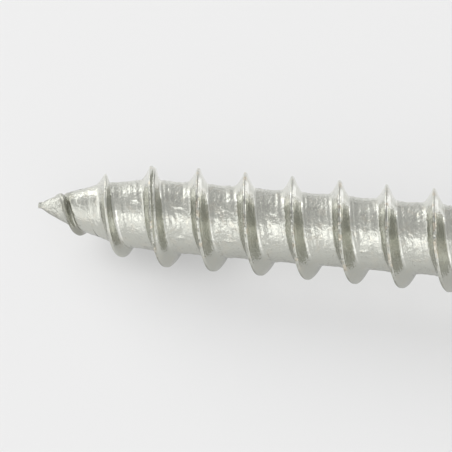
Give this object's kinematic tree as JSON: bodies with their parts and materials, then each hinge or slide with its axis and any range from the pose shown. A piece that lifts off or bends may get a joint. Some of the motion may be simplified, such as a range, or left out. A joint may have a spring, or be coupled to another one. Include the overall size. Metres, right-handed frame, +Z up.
{
  "type": "slotted wood screw",
  "caption": "Slotted countersunk wood screw: tapered tip with a coarse right-hand thread, a plain shank and a flat head, in bright stainless steel.",
  "frame": {"origin": "on the surface that the screw lies on, midway between its two ends", "axes": "+X along the ground from the tip to the head, +Z up; the screw's own axis rises 4.3 degrees from +X towards the head"},
  "size_m": [0.0302, 0.0074, 0.0075],
  "materials": {
    "stainless": "bright, as rolled and tumbled"
  },
  "bodies": {
    "root": {"wood_screw": "stainless"}
  },
  "joints": []
}
